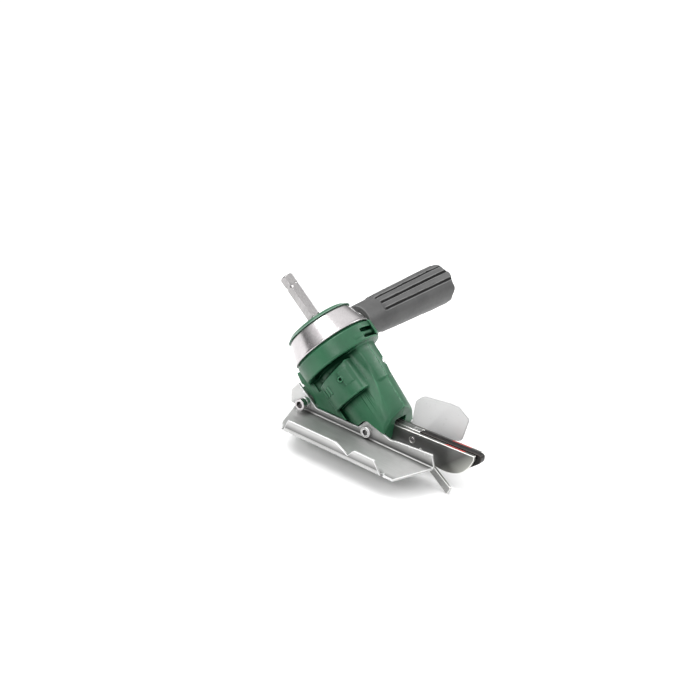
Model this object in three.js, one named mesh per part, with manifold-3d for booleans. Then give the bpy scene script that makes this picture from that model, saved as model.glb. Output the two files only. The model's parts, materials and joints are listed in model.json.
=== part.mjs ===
// A drill-driven sheet nibbler: a hex shank turns an eccentric, which rocks a
// centre blade between two fixed cheeks. All sizes are in millimetres, +Z is up,
// +X points along the cut and +Y is the tool's left.
import * as THREE from "three";
import { mergeVertices } from "three/addons/utils/BufferGeometryUtils.js";
import Module from "manifold-3d";

const wasm = await Module();
wasm.setup();

// ---- Driving dimensions -------------------------------------------------
// X and Z are measured from the front end of the shoe's fold, Y from the
// tool's middle plane. The finished tool is shifted to its own origin at the end.
const GAP = 0.3; // clearance between pieces that touch
const DRIVE_PITCH = THREE.MathUtils.degToRad(36.5); // drive axis below horizontal
const DRIVE_ORIGIN = new THREE.Vector3(-110.4, 0, 48.7); // axis at the band's lower edge

const SHANK = { flats: 9.5, top: -60, shoulder: -24 };
const SHAFT_R = 5;
const BEARING = { outer: 14, inner: SHAFT_R + GAP, width: 8, balls: 7 };
const REAR_BEARING = -13; // start of each bearing along the drive axis
const FRONT_BEARING = 8.5;
const ECCENTRIC = { offset: 1.5, pin: 4, start: 24, end: 39 };
const ROLLER = { outer: 7, start: 28, end: 37 };
const COUNTERWEIGHT = { outer: 12, start: 18, end: 21.5 };

const CAP = { outer: 25, top: -20, base: -17 };
const BAND = { topR: 25.2, baseR: 31, thick: 1.8, top: -17, base: 0 };
const COLLAR = { outer: 31, base: 14 };
const DRUM = { outer: 27.5, start: 20, end: 38, coneEnd: 46, coneR: 20 };
const NECK_GROOVE_R = 22.5;
const CHAMBER_R = 19;
const CHAMBER = { start: 17, end: 44 };

const BODY_HALF = 15.5; // half width of the flat-sided front body
const RIDGE_HALF = 9;
const RIDGE_HEIGHT = 24.5; // ridge above the drive axis
const SHOULDER_HEIGHT = 13; // where the flanks turn towards the ridge

// The housing's rear edge, which clears the rear spacer tube.
const HEEL = [
  [-106.6, 5],
  [-111.8, 14.5],
  [-122.5, 16.2],
  [-127.9, 22.6],
];

const HANDLE_TILT = THREE.MathUtils.degToRad(9); // from +Y towards the ridge
const HANDLE_ALONG = -6.3; // handle's place along the drive axis
const HANDLE = { root: 33.4, neck: 52, end: 131, rootR: 13.3, endR: 16, flutes: 12 };
const STUD = { radius: 4, start: 17.5, end: 60 };

const PIVOT = { x: -28, z: 6.5, radius: 1.9 };
const CHEEK_HALF = 6;
const SLOT_HALF = 3;
const BLADE_HALF = SLOT_HALF - GAP;
const CHEEK_REAR = -58;

const SHEET = 2.2; // shoe plate thickness
const PLATE_OUTER = BODY_HALF + GAP + SHEET;
const FOOT_OUTER = 54;
const LIP = { height: 10.4, flare: THREE.MathUtils.degToRad(15) };
const REAR_BOLT = { x: -113.5, z: 6.3, radius: 2.5, headR: 4.3, proud: 9 };
const FRONT_BOLT = { x: -58.3, z: 4.6, radius: 2.5, headR: 4.1, head: 2.8 };
const HOUSING_SCREWS = [
  [-49, 20],
  [-71, 47],
  [-96, 2],
];
const CHEEK_DOWEL = { x: -52, z: 5, radius: 2 };

// The fork leaves room for the roller's full throw on either side of the blade's swing.
const FORK = {
  inner: ROLLER.outer + 2 * ECCENTRIC.offset + GAP,
  wall: 4,
  start: 27,
  bridge: 41,
  end: 46,
  half: 6,
};
const ROCKER_BOLT = { x: -66, z: 6.5, radius: 2 };

const GUARD = { inner: CHEEK_HALF + GAP, thick: 1.7, bend: THREE.MathUtils.degToRad(10) };
const GUARD_SCREWS = [
  [-34, 6],
  [-8, 6],
];

// The shoe wall's upper edge, from the rear to the front.
const SIDE_OUTLINE = [
  [-128.8, 10.6, 1],
  [-123, 17.8, 1],
  [-104.4, 4.4, 1],
  [-66.6, 4.7, 1],
  [-60, 12.9, 3],
  [-38.5, 5.4, 3],
  [-34.5, 6.6, 1],
  [-3.4, 8.8, 1],
];

// ---- Frames ---------------------------------------------------------------
const X = new THREE.Vector3(1, 0, 0);
const Y = new THREE.Vector3(0, 1, 0);
const Z = new THREE.Vector3(0, 0, 1);
const DRIVE = new THREE.Vector3(Math.cos(DRIVE_PITCH), 0, -Math.sin(DRIVE_PITCH));
const RISE = new THREE.Vector3(Math.sin(DRIVE_PITCH), 0, Math.cos(DRIVE_PITCH));

// Local x is the tool's left, local y rises to the ridge, local z runs down the drive axis.
const driveFrame = new THREE.Matrix4().makeBasis(Y, RISE, DRIVE).setPosition(DRIVE_ORIGIN);

const handleAxis = Y.clone().multiplyScalar(Math.cos(HANDLE_TILT));
handleAxis.addScaledVector(RISE, Math.sin(HANDLE_TILT));
const handleSide = DRIVE.clone().cross(handleAxis);
const handleOrigin = DRIVE_ORIGIN.clone().addScaledVector(DRIVE, HANDLE_ALONG);
const handleFrame = new THREE.Matrix4()
  .makeBasis(handleSide.clone().negate(), DRIVE, handleAxis)
  .setPosition(handleOrigin);

// A frame whose local z runs along +Y (side 1) or -Y (side -1) from the middle plane.
function crossFrame(x, z, side = 1) {
  const frame = new THREE.Matrix4();
  frame.makeBasis(X, side > 0 ? Z.clone().negate() : Z, side > 0 ? Y : Y.clone().negate());
  return frame.setPosition(x, 0, z);
}

// ---- Solids ---------------------------------------------------------------
// A closed geometry as a manifold-3d solid, with the collapsed triangles left out.
function solidOf(geometry, frame) {
  const bare = new THREE.BufferGeometry();
  const open = geometry.index ? geometry.toNonIndexed() : geometry;
  bare.setAttribute("position", open.getAttribute("position").clone());
  if (frame) bare.applyMatrix4(frame);
  const merged = mergeVertices(bare, 1e-4);
  const index = merged.index.array;
  const kept = [];
  for (let i = 0; i < index.length; i += 3) {
    const [a, b, c] = index.slice(i, i + 3);
    if (a !== b && b !== c && a !== c) kept.push(a, b, c);
  }
  const vertProperties = merged.attributes.position.array;
  const build = (list) =>
    new wasm.Manifold(
      new wasm.Mesh({ numProp: 3, vertProperties, triVerts: new Uint32Array(list) }),
    );
  const made = build(kept);
  return made.volume() > 0 ? made : build(kept.reverse());
}

// A profile of [radius, distance] pairs turned about a frame's z axis.
function turned(profile, frame, segments = 32) {
  const points = profile.map(([r, d]) => new THREE.Vector2(r, d));
  const lathe = new THREE.LatheGeometry(points, segments).rotateX(Math.PI / 2);
  return solidOf(lathe, frame);
}

function rod(radius, start, end, frame, segments = 16) {
  const profile = [
    [0, start],
    [radius, start],
    [radius, end],
    [0, end],
  ];
  return turned(profile, frame, segments);
}

function ring(inner, outer, start, end, frame, segments = 24) {
  const profile = [
    [inner, start],
    [outer, start],
    [outer, end],
    [inner, end],
    [inner, start],
  ];
  return turned(profile, frame, segments);
}

// An outline of [u, v] corners, each with an optional rounding radius.
function outline(corners) {
  const shape = new THREE.Shape();
  corners.forEach(([u, v, radius = 0], i) => {
    const here = new THREE.Vector2(u, v);
    const before = new THREE.Vector2(...corners.at(i - 1).slice(0, 2));
    const after = new THREE.Vector2(...corners[(i + 1) % corners.length].slice(0, 2));
    const start = here.clone().add(before.sub(here).setLength(radius));
    const end = here.clone().add(after.sub(here).setLength(radius));
    if (i === 0) shape.moveTo(start.x, start.y);
    else shape.lineTo(start.x, start.y);
    if (radius > 0) shape.quadraticCurveTo(here.x, here.y, end.x, end.y);
  });
  shape.closePath();
  return shape;
}

// An outline in X and Z, given thickness from y = low to y = high.
function plate(corners, low, high) {
  const options = { depth: high - low, bevelEnabled: false, curveSegments: 5 };
  const slab = new THREE.ExtrudeGeometry(outline(corners), options);
  return solidOf(slab.rotateX(Math.PI / 2).translate(0, high, 0));
}

// An outline in a frame's x and y, given length along its z axis.
function prism(corners, start, end, frame) {
  const options = { depth: end - start, bevelEnabled: false, curveSegments: 5 };
  const bar = new THREE.ExtrudeGeometry(outline(corners), options);
  return solidOf(bar.translate(0, 0, start), frame);
}

function box(low, high) {
  const size = new THREE.Vector3().subVectors(high, low);
  const block = new THREE.BoxGeometry(size.x, size.y, size.z);
  return solidOf(block.translate(...low.clone().add(high).multiplyScalar(0.5)));
}

function regular(sides, acrossFlats) {
  const radius = acrossFlats / 2 / Math.cos(Math.PI / sides);
  return Array.from({ length: sides }, (_, i) => {
    const turn = (2 * Math.PI * (i + 0.5)) / sides;
    return [radius * Math.cos(turn), radius * Math.sin(turn)];
  });
}

function joined(...solids) {
  return solids.reduce((whole, next) => whole.add(next));
}

function cut(solid, ...tools) {
  return tools.reduce((rest, tool) => rest.subtract(tool), solid);
}

// A point given along the drive axis and above it, in the tool's X and Z.
function drivePoint(along, above) {
  const point = DRIVE_ORIGIN.clone().addScaledVector(DRIVE, along);
  point.addScaledVector(RISE, above);
  return [point.x, point.z];
}

// ---- Nodes ----------------------------------------------------------------
const tool = new THREE.Group();

const finish = (color, roughness, metalness) =>
  new THREE.MeshStandardMaterial({ color, roughness, metalness });
const materials = {
  green: finish(0x3f7453, 0.42, 0),
  polished: finish(0xd2d0d0, 0.18, 1),
  steel: finish(0x9a9a9a, 0.38, 1),
  blackSteel: finish(0x17130f, 0.35, 0.8),
  grip: finish(0x6f6f6f, 0.6, 0),
  guard: finish(0xcacaca, 0.35, 0),
  rubber: finish(0x1d1d1d, 0.8, 0),
  bronze: finish(0x9c7a43, 0.4, 1),
};

function node(name, solid, material) {
  const { vertProperties, triVerts } = solid.getMesh();
  const geometry = new THREE.BufferGeometry();
  geometry.setAttribute("position", new THREE.BufferAttribute(vertProperties, 3));
  geometry.setIndex(new THREE.BufferAttribute(triVerts, 1));
  geometry.computeVertexNormals();
  const mesh = new THREE.Mesh(geometry, material);
  mesh.name = name;
  tool.add(mesh);
}

// A screw with a round head and a socket, its head's seat at `seat` along the frame.
function capScrew(frame, { seat, head, headR, radius, length }) {
  const socketR = headR * 0.5;
  const profile = [
    [0, seat + head * 0.4],
    [socketR, seat + head * 0.4],
    [socketR, seat + head],
    [headR - 0.5, seat + head],
    [headR, seat + head - 0.5],
    [headR, seat],
    [radius, seat],
    [radius, seat - length],
    [0, seat - length],
  ];
  return turned(profile, frame, 14);
}

// ---- Housing --------------------------------------------------------------
function bandRadius(along) {
  const share = (along - BAND.top) / (BAND.base - BAND.top);
  return THREE.MathUtils.lerp(BAND.topR, BAND.baseR, share);
}

function housingOuter() {
  const neck = (along) => bandRadius(along) - BAND.thick - GAP;
  const barrel = turned(
    [
      [0, CAP.base + GAP],
      [neck(CAP.base + GAP), CAP.base + GAP],
      [neck(-GAP), -GAP],
      [neck(-GAP), GAP],
      [COLLAR.outer, GAP],
      [COLLAR.outer, COLLAR.base - 2],
      [COLLAR.outer - 1.6, COLLAR.base],
      [NECK_GROOVE_R, COLLAR.base + 1],
      [NECK_GROOVE_R, DRUM.start],
      [DRUM.outer - 1, DRUM.start],
      [DRUM.outer, DRUM.start + 1],
      [DRUM.outer, DRUM.end],
      [DRUM.coneR, DRUM.coneEnd],
      [0, DRUM.coneEnd],
    ],
    driveFrame,
    40,
  );
  const side = [
    drivePoint(COLLAR.base - 1, RIDGE_HEIGHT),
    [-42, 26, 3],
    [-46.5, 6, 2],
    [-50, -3, 3],
    [-104, -3, 4],
    ...HEEL,
  ];
  const section = [
    [-BODY_HALF, -50],
    [BODY_HALF, -50],
    [BODY_HALF, SHOULDER_HEIGHT, 4],
    [RIDGE_HALF, RIDGE_HEIGHT, 3],
    [-RIDGE_HALF, RIDGE_HEIGHT, 3],
    [-BODY_HALF, SHOULDER_HEIGHT, 4],
  ];
  const slab = plate(side, -BODY_HALF, BODY_HALF);
  const body = slab.intersect(prism(section, 0, 110, driveFrame));
  return joined(barrel, body);
}

function housingHollow() {
  const seatR = BEARING.outer + GAP;
  const bore = turned(
    [
      [0, CAP.base - 3],
      [seatR, CAP.base - 3],
      [seatR, REAR_BEARING + BEARING.width + GAP],
      [BEARING.outer - 2, REAR_BEARING + BEARING.width + GAP],
      [BEARING.outer - 2, FRONT_BEARING - GAP],
      [seatR, FRONT_BEARING - GAP],
      [seatR, CHAMBER.start],
      [CHAMBER_R, CHAMBER.start],
      [CHAMBER_R, CHAMBER.end],
      [0, CHAMBER.end],
    ],
    driveFrame,
    24,
  );
  const leverRoom = [
    [-90, 17],
    [-81, -1],
    [-38, -1],
    [-38, 13.4],
    [-58, 13.4],
    [-60, 36],
    [-66, 41],
    [-72, 40],
  ];
  return joined(bore, plate(leverRoom, -CHEEK_HALF - 0.6, CHEEK_HALF + 0.6));
}

function housing() {
  const whole = cut(
    housingOuter(),
    housingHollow(),
    rod(STUD.radius + GAP, STUD.start - 1, 60, handleFrame),
    rod(CHEEK_DOWEL.radius + GAP, -12, 12, crossFrame(CHEEK_DOWEL.x, CHEEK_DOWEL.z)),
  );
  const far = 200;
  const halves = {
    right: box(new THREE.Vector3(-far, -far, -far), new THREE.Vector3(far, -GAP / 2, far)),
    left: box(new THREE.Vector3(-far, GAP / 2, -far), new THREE.Vector3(far, far, far)),
  };
  const frontHole = (side) =>
    rod(FRONT_BOLT.radius + GAP, 9, 30, crossFrame(FRONT_BOLT.x, FRONT_BOLT.z, side), 20);
  let right = cut(whole.intersect(halves.right), frontHole(-1));
  let left = cut(whole.intersect(halves.left), frontHole(1));
  HOUSING_SCREWS.forEach(([x, z], i) => {
    const frame = crossFrame(x, z);
    right = cut(right, rod(1.6 + GAP, -12, 1, frame, 16));
    left = cut(left, rod(1.6 + GAP, -1, 30, frame, 16), rod(3.2 + GAP, 9, 30, frame, 16));
    const size = { seat: 9 + GAP, head: 3, headR: 3.2, radius: 1.6, length: 20 };
    node(`housing_screw_${i + 1}`, capScrew(frame, size), materials.steel);
  });
  for (let i = 0; i < 3; i++) {
    const tapped = rod(1.5 + GAP, -7, 8, capScrewFrame(i), 16);
    right = cut(right, tapped);
    left = cut(left, tapped);
  }
  node("housing_right", right, materials.green);
  node("housing_left", left, materials.green);
}

// The cap's screws point out along the drive axis, away from the housing.
function capScrewFrame(i) {
  const turn = (2 * Math.PI * i) / 3 + Math.PI / 3;
  const place = new THREE.Vector3(19 * Math.cos(turn), 19 * Math.sin(turn), CAP.base);
  place.applyMatrix4(driveFrame);
  const back = DRIVE.clone().negate();
  return new THREE.Matrix4().makeBasis(Y.clone().negate(), RISE, back).setPosition(place);
}

function cap() {
  const shell = turned(
    [
      [8, CAP.base],
      [8, CAP.top],
      [CAP.outer - 2.6, CAP.top],
      [CAP.outer, CAP.top + 2],
      [CAP.outer, CAP.base - GAP],
      [CAP.outer - 1.5, CAP.base],
      [13.8, CAP.base],
      [13.8, CAP.base + 2.6],
      [11, CAP.base + 2.6],
      [11, CAP.base],
      [8, CAP.base],
    ],
    driveFrame,
    36,
  );
  let drilled = shell;
  for (let i = 0; i < 3; i++) {
    const frame = capScrewFrame(i);
    drilled = cut(drilled, rod(1.5 + GAP, -5, 8, frame, 16), rod(3 + GAP, 1.2, 8, frame, 16));
    const size = { seat: 1.2 + GAP, head: 1.8, headR: 2.8, radius: 1.5, length: 8 };
    node(`cap_screw_${i + 1}`, capScrew(frame, size), materials.steel);
  }
  node("gearbox_cap", drilled, materials.green);
  const seal = ring(SHAFT_R + GAP, 8 - GAP, CAP.top + 0.4, CAP.base + 2, driveFrame);
  node("shaft_seal", seal, materials.rubber);
}

function band() {
  const strap = turned(
    [
      [BAND.topR - BAND.thick, BAND.top],
      [BAND.topR, BAND.top],
      [BAND.baseR, BAND.base],
      [BAND.baseR - BAND.thick, BAND.base],
      [BAND.topR - BAND.thick, BAND.top],
    ],
    driveFrame,
    40,
  );
  const pierced = cut(strap, rod(STUD.radius + GAP, 15, 50, handleFrame));
  node("clamp_band", pierced, materials.polished);
}

// ---- Drive ----------------------------------------------------------------
function bearing(name, start) {
  const end = start + BEARING.width;
  const outer = ring(11.9, BEARING.outer, start, end, driveFrame, 36);
  const inner = ring(BEARING.inner, 7.6, start, end, driveFrame, 24);
  const middle = (start + end) / 2;
  const ballR = 1.9;
  const pitchR = 9.75;
  let cage = ring(pitchR - 0.6, pitchR + 0.6, middle - 1, middle + 1, driveFrame, 24);
  for (let i = 0; i < BEARING.balls; i++) {
    const turn = (2 * Math.PI * i) / BEARING.balls;
    const ball = new THREE.SphereGeometry(ballR, 6, 4);
    ball.translate(pitchR * Math.cos(turn), pitchR * Math.sin(turn), middle);
    cage = joined(cage, solidOf(ball, driveFrame));
  }
  node(`${name}_outer_race`, outer, materials.steel);
  node(`${name}_inner_race`, inner, materials.steel);
  node(`${name}_ball_cage`, cage, materials.bronze);
}

function eccentricFrame() {
  const shift = RISE.clone().multiplyScalar(ECCENTRIC.offset);
  const place = DRIVE_ORIGIN.clone().add(shift);
  return new THREE.Matrix4().makeBasis(Y, RISE, DRIVE).setPosition(place);
}

function driveTrain() {
  const offset = eccentricFrame();
  const hex = prism(regular(6, SHANK.flats), SHANK.top, SHANK.shoulder, driveFrame);
  const tip = turned(
    [
      [0, SHANK.top - 1],
      [3.6, SHANK.top - 1],
      [6.6, SHANK.top + 2],
      [6.6, 0],
      [0, 0],
    ],
    driveFrame,
    24,
  );
  const shaft = joined(
    hex.intersect(tip),
    rod(SHAFT_R, SHANK.shoulder - 1, ECCENTRIC.start - 2, driveFrame, 24),
    rod(7, ECCENTRIC.start - 2.2, ECCENTRIC.start + 1, offset, 24),
    rod(ECCENTRIC.pin, ECCENTRIC.start, ECCENTRIC.end, offset, 24),
    rod(7.2, REAR_BEARING + BEARING.width + GAP, FRONT_BEARING - GAP, driveFrame, 24),
  );
  const circlipSeat = ring(ECCENTRIC.pin - 0.6, 6, ROLLER.end + GAP, ROLLER.end + 1.3, offset, 24);
  node("drive_shaft", cut(shaft, circlipSeat), materials.polished);
  const clip = ring(ECCENTRIC.pin - 0.3, 6, ROLLER.end + GAP + 0.1, ROLLER.end + 1.2, offset, 24);
  node("roller_circlip", clip, materials.steel);

  bearing("rear_bearing", REAR_BEARING);
  bearing("front_bearing", FRONT_BEARING);

  const { outer, start, end } = COUNTERWEIGHT;
  const below = [
    [-outer, 1],
    [-outer, -outer],
    [outer, -outer],
    [outer, 1],
  ];
  const disc = ring(SHAFT_R + GAP, outer, start, end, driveFrame, 32);
  const halfDisc = disc.intersect(prism(below, start - 1, end + 1, driveFrame));
  const hub = ring(SHAFT_R + GAP, 7.5, start, end, driveFrame, 32);
  node("counterweight", joined(halfDisc, hub), materials.steel);

  const roller = ring(ECCENTRIC.pin + GAP, ROLLER.outer, ROLLER.start, ROLLER.end, offset, 36);
  node("eccentric_roller", roller, materials.polished);
}

// ---- Rocker and blade -----------------------------------------------------
function rocker() {
  const middle = ECCENTRIC.offset;
  const reach = FORK.inner + FORK.wall;
  const bar = (low, high, start, end) => {
    const corners = [
      drivePoint(start, middle + low),
      drivePoint(end, middle + low),
      drivePoint(end, middle + high),
      drivePoint(start, middle + high),
    ];
    return plate(corners, -FORK.half, FORK.half);
  };
  const arm = [
    drivePoint(FORK.end - 1, middle - reach),
    [-73, 2, 3],
    [-59.5, 2, 3],
    [-59.5, 11, 3],
    [-66, 20, 4],
    drivePoint(FORK.end - 1, middle + reach),
  ];
  const tailSlot = [
    [-73.5, -5],
    [-50, -5],
    [-50, 14],
    [-73.5, 14],
  ];
  const pinHole = crossFrame(ROCKER_BOLT.x, ROCKER_BOLT.z);
  const fork = cut(
    joined(
      bar(-reach, -FORK.inner, FORK.start, FORK.end),
      bar(FORK.inner, reach, FORK.start, FORK.end),
      bar(-reach, reach, FORK.bridge, FORK.end),
      plate(arm, -FORK.half, FORK.half),
    ),
    plate(tailSlot, -SLOT_HALF, SLOT_HALF),
    rod(ROCKER_BOLT.radius + GAP, -8, 8, pinHole),
  );
  node("rocker_fork", fork, materials.steel);
  node("rocker_pin", rod(ROCKER_BOLT.radius, -5.9, 5.9, pinHole), materials.steel);
}

function blade() {
  const profile = [
    [-73, 3, 2],
    [-60, 2, 2],
    [-24, -0.5, 4],
    [4, -2, 3],
    [15.5, 3.5, 1],
    [19.6, 3.2, 0.4],
    [26.8, 9.5, 2],
    [26.8, 15.2, 3],
    [18, 14.9],
    [-23.4, 13.4],
    [-24, 10.9],
    [-73, 10.9, 2],
  ];
  const pivot = crossFrame(PIVOT.x, PIVOT.z);
  const bushOuter = PIVOT.radius + GAP + 1.4;
  const cutter = cut(
    plate(profile, -BLADE_HALF, BLADE_HALF),
    rod(bushOuter + GAP, -5, 5, pivot, 24),
    rod(ROCKER_BOLT.radius + GAP, -5, 5, crossFrame(ROCKER_BOLT.x, ROCKER_BOLT.z)),
    rod(CHEEK_DOWEL.radius + 2, -5, 5, crossFrame(CHEEK_DOWEL.x, CHEEK_DOWEL.z)),
  );
  node("cutting_blade", cutter, materials.blackSteel);
  const bush = ring(PIVOT.radius + GAP, bushOuter, -BLADE_HALF, BLADE_HALF, pivot, 24);
  node("pivot_bush", bush, materials.bronze);
}

// ---- Jaw ------------------------------------------------------------------
function jaw() {
  const profile = [
    [CHEEK_REAR, -0.5],
    [-22, -0.5, 3],
    [-12, -5, 4],
    [3, -6.8, 6],
    [14.5, -3, 5],
    [20.5, 4.5, 3],
    [23, 11],
    [22.8, 14.2, 0.6],
    [-40, 12],
    [CHEEK_REAR, 12],
  ];
  for (const side of [-1, 1]) {
    const [low, high] = side < 0 ? [-CHEEK_HALF, -SLOT_HALF] : [SLOT_HALF, CHEEK_HALF];
    let cheek = cut(
      plate(profile, low, high),
      rod(PIVOT.radius + GAP, -9, 9, crossFrame(PIVOT.x, PIVOT.z)),
      rod(CHEEK_DOWEL.radius + GAP, -9, 9, crossFrame(CHEEK_DOWEL.x, CHEEK_DOWEL.z)),
    );
    if (side > 0) {
      for (const [x, z] of GUARD_SCREWS) cheek = cut(cheek, rod(1.5, -9, 9, crossFrame(x, z), 16));
    }
    node(side < 0 ? "right_cheek" : "left_cheek", cheek, materials.steel);
  }
  const strap = [
    [-56, 11.3],
    [-24.6, 11.3],
    [-24.6, 12.9],
    [-44, 12.6],
    [-56, 12.2],
  ];
  node("cheek_spacer", plate(strap, -BLADE_HALF, BLADE_HALF), materials.steel);
  node(
    "blade_pivot_pin",
    rod(PIVOT.radius, -CHEEK_HALF - 0.3, CHEEK_HALF - 0.2, crossFrame(PIVOT.x, PIVOT.z)),
    materials.polished,
  );
  node(
    "cheek_dowel",
    rod(CHEEK_DOWEL.radius, -11.5, 11.5, crossFrame(CHEEK_DOWEL.x, CHEEK_DOWEL.z)),
    materials.steel,
  );
}

// ---- Chip guard -----------------------------------------------------------
function guard() {
  const foldTop = [-9.2, 38.6];
  const foldBase = [-19.5, 21.1];
  const rear = [
    foldTop,
    foldBase,
    [-19.5, 2.5],
    [-37.6, 2.5, 1],
    [-37.4, 29.4, 2],
    [-32, 35.6, 3],
  ];
  const front = [foldTop, foldBase, [-19.5, 12], [2.2, 12, 3], [5.8, 31, 2], [-2.6, 38, 2]];
  const high = GUARD.inner + GUARD.thick;
  const lower = plate([[-19.6, 2.5], [-3, 2.5, 3], [-3, 12.1], [-19.6, 12.1]], GUARD.inner, high);
  const rearPlate = plate(rear, GUARD.inner, high);
  const frontPlate = bentAlong(plate(front, GUARD.inner, high), foldBase, foldTop, GUARD.bend);
  let screen = joined(rearPlate, frontPlate, lower);
  GUARD_SCREWS.forEach(([x, z], i) => {
    screen = cut(screen, rod(1.2 + GAP, 0, 20, crossFrame(x, z), 16));
    const size = { seat: high + GAP, head: 1.6, headR: 2.4, radius: 1.2, length: 4.2 };
    node(`guard_screw_${i + 1}`, capScrew(crossFrame(x, z), size), materials.steel);
  });
  node("chip_guard", screen, materials.guard);
}

// Leans what lies in front of a fold line outwards, in proportion to its distance.
function bentAlong(solid, base, top, angle) {
  const along = new THREE.Vector2(top[0] - base[0], top[1] - base[1]).normalize();
  return solid.warp((v) => {
    const ahead = (v[0] - base[0]) * along.y - (v[2] - base[1]) * along.x;
    if (ahead > 0) v[1] += ahead * Math.tan(angle);
  });
}

// ---- Shoe -----------------------------------------------------------------
function lip() {
  const lean = Math.sin(LIP.flare);
  const rise = Math.cos(LIP.flare);
  const bend = [
    [-FOOT_OUTER, -SHEET],
    [-FOOT_OUTER - SHEET * rise, -SHEET * lean],
    [-FOOT_OUTER - SHEET * rise - LIP.height * lean, LIP.height * rise - SHEET * lean],
    [-FOOT_OUTER - LIP.height * lean, LIP.height * rise],
    [-FOOT_OUTER, 0],
  ];
  // The section lies in Y and Z and runs along X.
  const along = new THREE.Matrix4().makeBasis(Y, Z, X);
  const wall = prism(bend, -107, -18, along);
  const above = LIP.height + 1;
  const trim = [
    [-106, -SHEET],
    [-99, above],
    [-57.7, above],
    [-47, 3.6],
    [-41.5, above],
    [-24.5, above],
    [-19.6, 0.4],
    [-19.6, -SHEET],
  ];
  return wall.intersect(plate(trim, -80, -40));
}

function shoe() {
  const inner = -BODY_HALF - GAP;
  const wall = plate([...SIDE_OUTLINE, [0, 0], [-0.4, -SHEET], [-124, -SHEET]], -PLATE_OUTER, inner);
  const floor = [
    [-PLATE_OUTER + 0.4, -0.6],
    [-FOOT_OUTER, -10],
    [-FOOT_OUTER, -106, 4],
    [-FOOT_OUTER + 6, -112, 4],
    [-PLATE_OUTER + 0.4, -123.4],
  ];
  const flat = prism(floor, -SHEET, 0, new THREE.Matrix4().makeBasis(Y, X, Z.clone().negate()));
  const foot = flat.translate([0, 0, -SHEET]);
  const holes = (side) => [
    rod(FRONT_BOLT.radius + GAP, 10, 30, crossFrame(FRONT_BOLT.x, FRONT_BOLT.z, side)),
    rod(REAR_BOLT.radius + GAP, 10, 30, crossFrame(REAR_BOLT.x, REAR_BOLT.z, side)),
  ];
  node("right_shoe", cut(joined(wall, foot, lip()), ...holes(-1)), materials.steel);

  const short = [...SIDE_OUTLINE.slice(0, -1), [-14, 7.6, 2], [-14, -SHEET, 2], [-124, -SHEET, 2]];
  const left = plate(short, -inner, PLATE_OUTER);
  node("left_side_plate", cut(left, ...holes(1)), materials.steel);
}

function shoeFasteners() {
  for (const side of [-1, 1]) {
    const frame = crossFrame(FRONT_BOLT.x, FRONT_BOLT.z, side);
    const size = {
      seat: PLATE_OUTER + GAP,
      head: FRONT_BOLT.head,
      headR: FRONT_BOLT.headR,
      radius: FRONT_BOLT.radius,
      length: 8.5,
    };
    node(`front_bolt_${side < 0 ? "right" : "left"}`, capScrew(frame, size), materials.steel);
  }
  const frame = crossFrame(REAR_BOLT.x, REAR_BOLT.z, -1);
  const seat = PLATE_OUTER + REAR_BOLT.proud - 5;
  const rearSize = {
    seat: seat + GAP,
    head: 5 - GAP,
    headR: REAR_BOLT.headR,
    radius: REAR_BOLT.radius,
    length: seat + PLATE_OUTER + 5.5,
  };
  node("rear_bolt", capScrew(frame, rearSize), materials.polished);
  const washer = ring(REAR_BOLT.radius + GAP, REAR_BOLT.headR, PLATE_OUTER + GAP, seat, frame, 24);
  node("rear_bolt_sleeve", washer, materials.steel);
  const reach = BODY_HALF;
  const spacer = ring(REAR_BOLT.radius + GAP, 4.6, -reach, reach, frame, 24);
  node("rear_spacer_tube", spacer, materials.steel);
  const nut = cut(
    prism(regular(6, 8), -PLATE_OUTER - GAP - 4, -PLATE_OUTER - GAP, frame),
    rod(REAR_BOLT.radius + GAP, -60, 60, frame),
  );
  node("rear_nut", nut, materials.steel);
}

function finger() {
  const bar = [
    [-18.5, 4.2, 1],
    [-15.8, 8, 1],
    [14.4, -11.2, 1],
    [12, -16.9, 1],
  ];
  node("guide_finger", plate(bar, -BODY_HALF, -BODY_HALF + SHEET), materials.steel);
}

// ---- Handle ---------------------------------------------------------------
function gripRadius(distance) {
  const share = (distance - HANDLE.root) / (HANDLE.end - HANDLE.root);
  return THREE.MathUtils.lerp(HANDLE.rootR, HANDLE.endR, share);
}

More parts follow.
